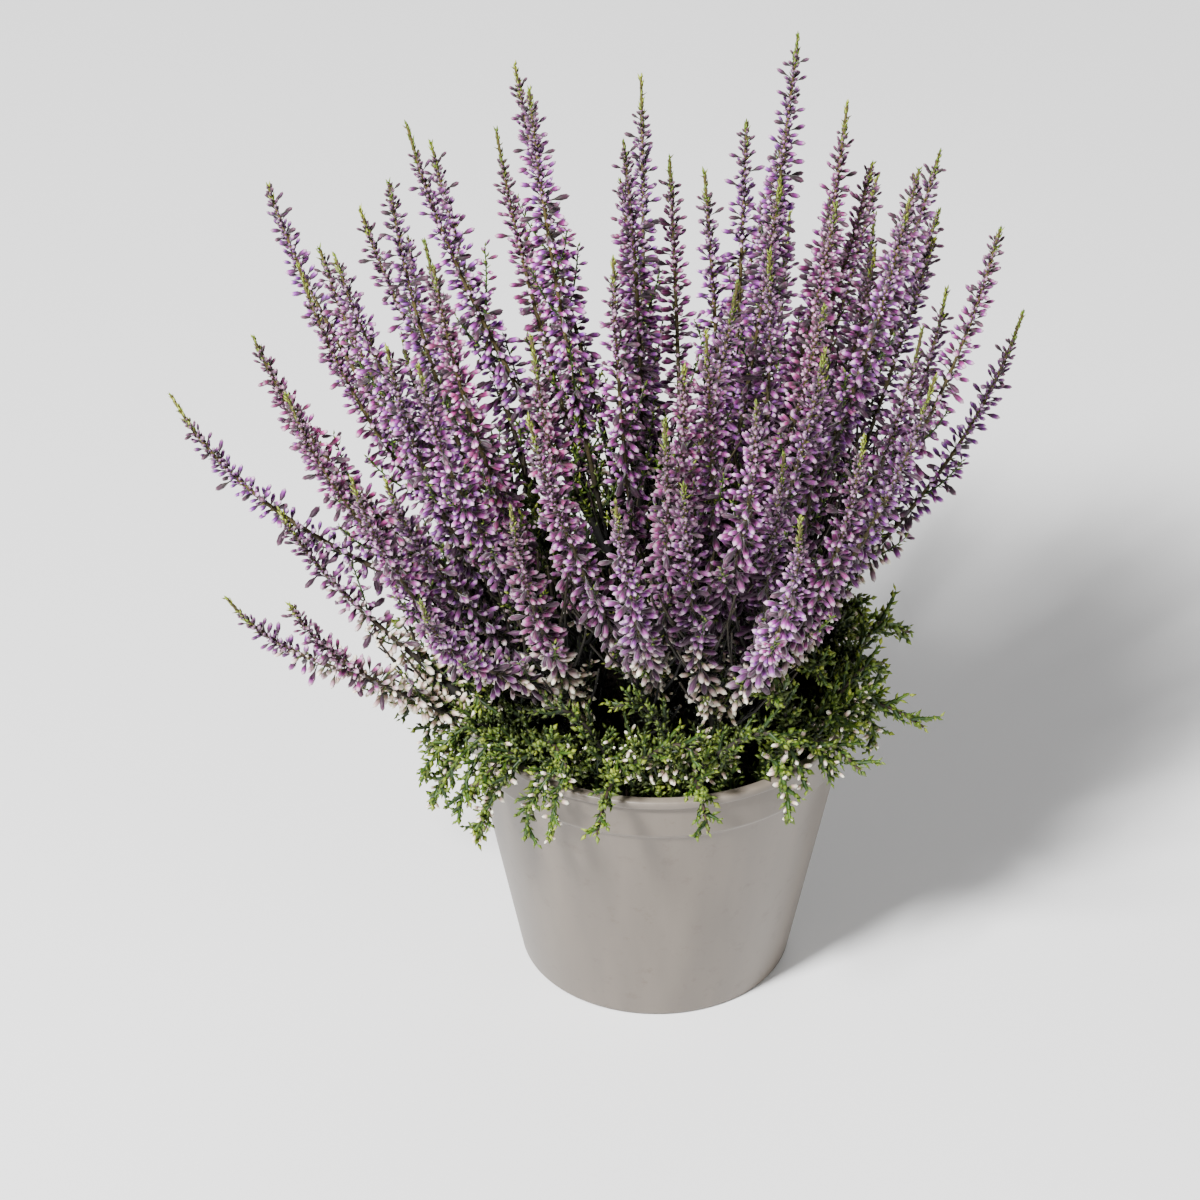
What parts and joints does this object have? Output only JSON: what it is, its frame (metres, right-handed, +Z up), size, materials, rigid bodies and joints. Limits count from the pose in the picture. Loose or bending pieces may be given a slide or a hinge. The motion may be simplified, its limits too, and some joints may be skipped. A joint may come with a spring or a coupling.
{
  "type": "potted heather",
  "caption": "Bushy heather plant in bud with upright mauve flower spikes and leafy green tufts, growing in a round tapered pot.",
  "frame": {"origin": "middle of the pot's underside, on the flat pad that it stands on", "axes": "+Z up along the pot's axis; -Y is the front that the picture shows, and the plant leans to -X"},
  "size_m": [0.2168, 0.1976, 0.2466],
  "materials": {
    "pot_plastic": "satin warm grey moulded plastic",
    "potting_soil": "dark crumbly potting soil",
    "flower_buds": "matt mauve buds with pale tips on olive stems",
    "leaves": "matt green scale leaves"
  },
  "bodies": {
    "root": {"pot": "pot_plastic", "soil": "potting_soil", "flowering_spray_01": "flower_buds", "flowering_spray_02": "flower_buds", "flowering_spray_03": "flower_buds", "flowering_spray_04": "flower_buds", "flowering_spray_05": "flower_buds", "flowering_spray_06": "flower_buds", "flowering_spray_07": "flower_buds", "flowering_spray_08": "flower_buds", "flowering_spray_09": "flower_buds", "flowering_spray_10": "flower_buds", "flowering_spray_11": "flower_buds", "flowering_spray_12": "flower_buds", "flowering_spray_13": "flower_buds", "flowering_spray_14": "flower_buds", "flowering_spray_15": "flower_buds", "flowering_spray_16": "flower_buds", "flowering_spray_17": "flower_buds", "flowering_spray_18": "flower_buds", "flowering_spray_19": "flower_buds", "flowering_spray_20": "flower_buds", "flowering_spray_21": "flower_buds", "flowering_spray_22": "flower_buds", "flowering_spray_23": "flower_buds", "flowering_spray_24": "flower_buds", "flowering_spray_25": "flower_buds", "flowering_spray_26": "flower_buds", "leafy_tuft_01": "leaves", "leafy_tuft_02": "leaves", "leafy_tuft_03": "leaves", "leafy_tuft_04": "leaves", "leafy_tuft_05": "leaves", "leafy_tuft_06": "leaves", "leafy_tuft_07": "leaves", "leafy_tuft_08": "leaves", "leafy_tuft_09": "leaves", "leafy_tuft_10": "leaves", "leafy_tuft_11": "leaves", "leafy_tuft_12": "leaves", "leafy_tuft_13": "leaves", "leafy_tuft_14": "leaves", "leafy_tuft_15": "leaves"}
  },
  "joints": []
}
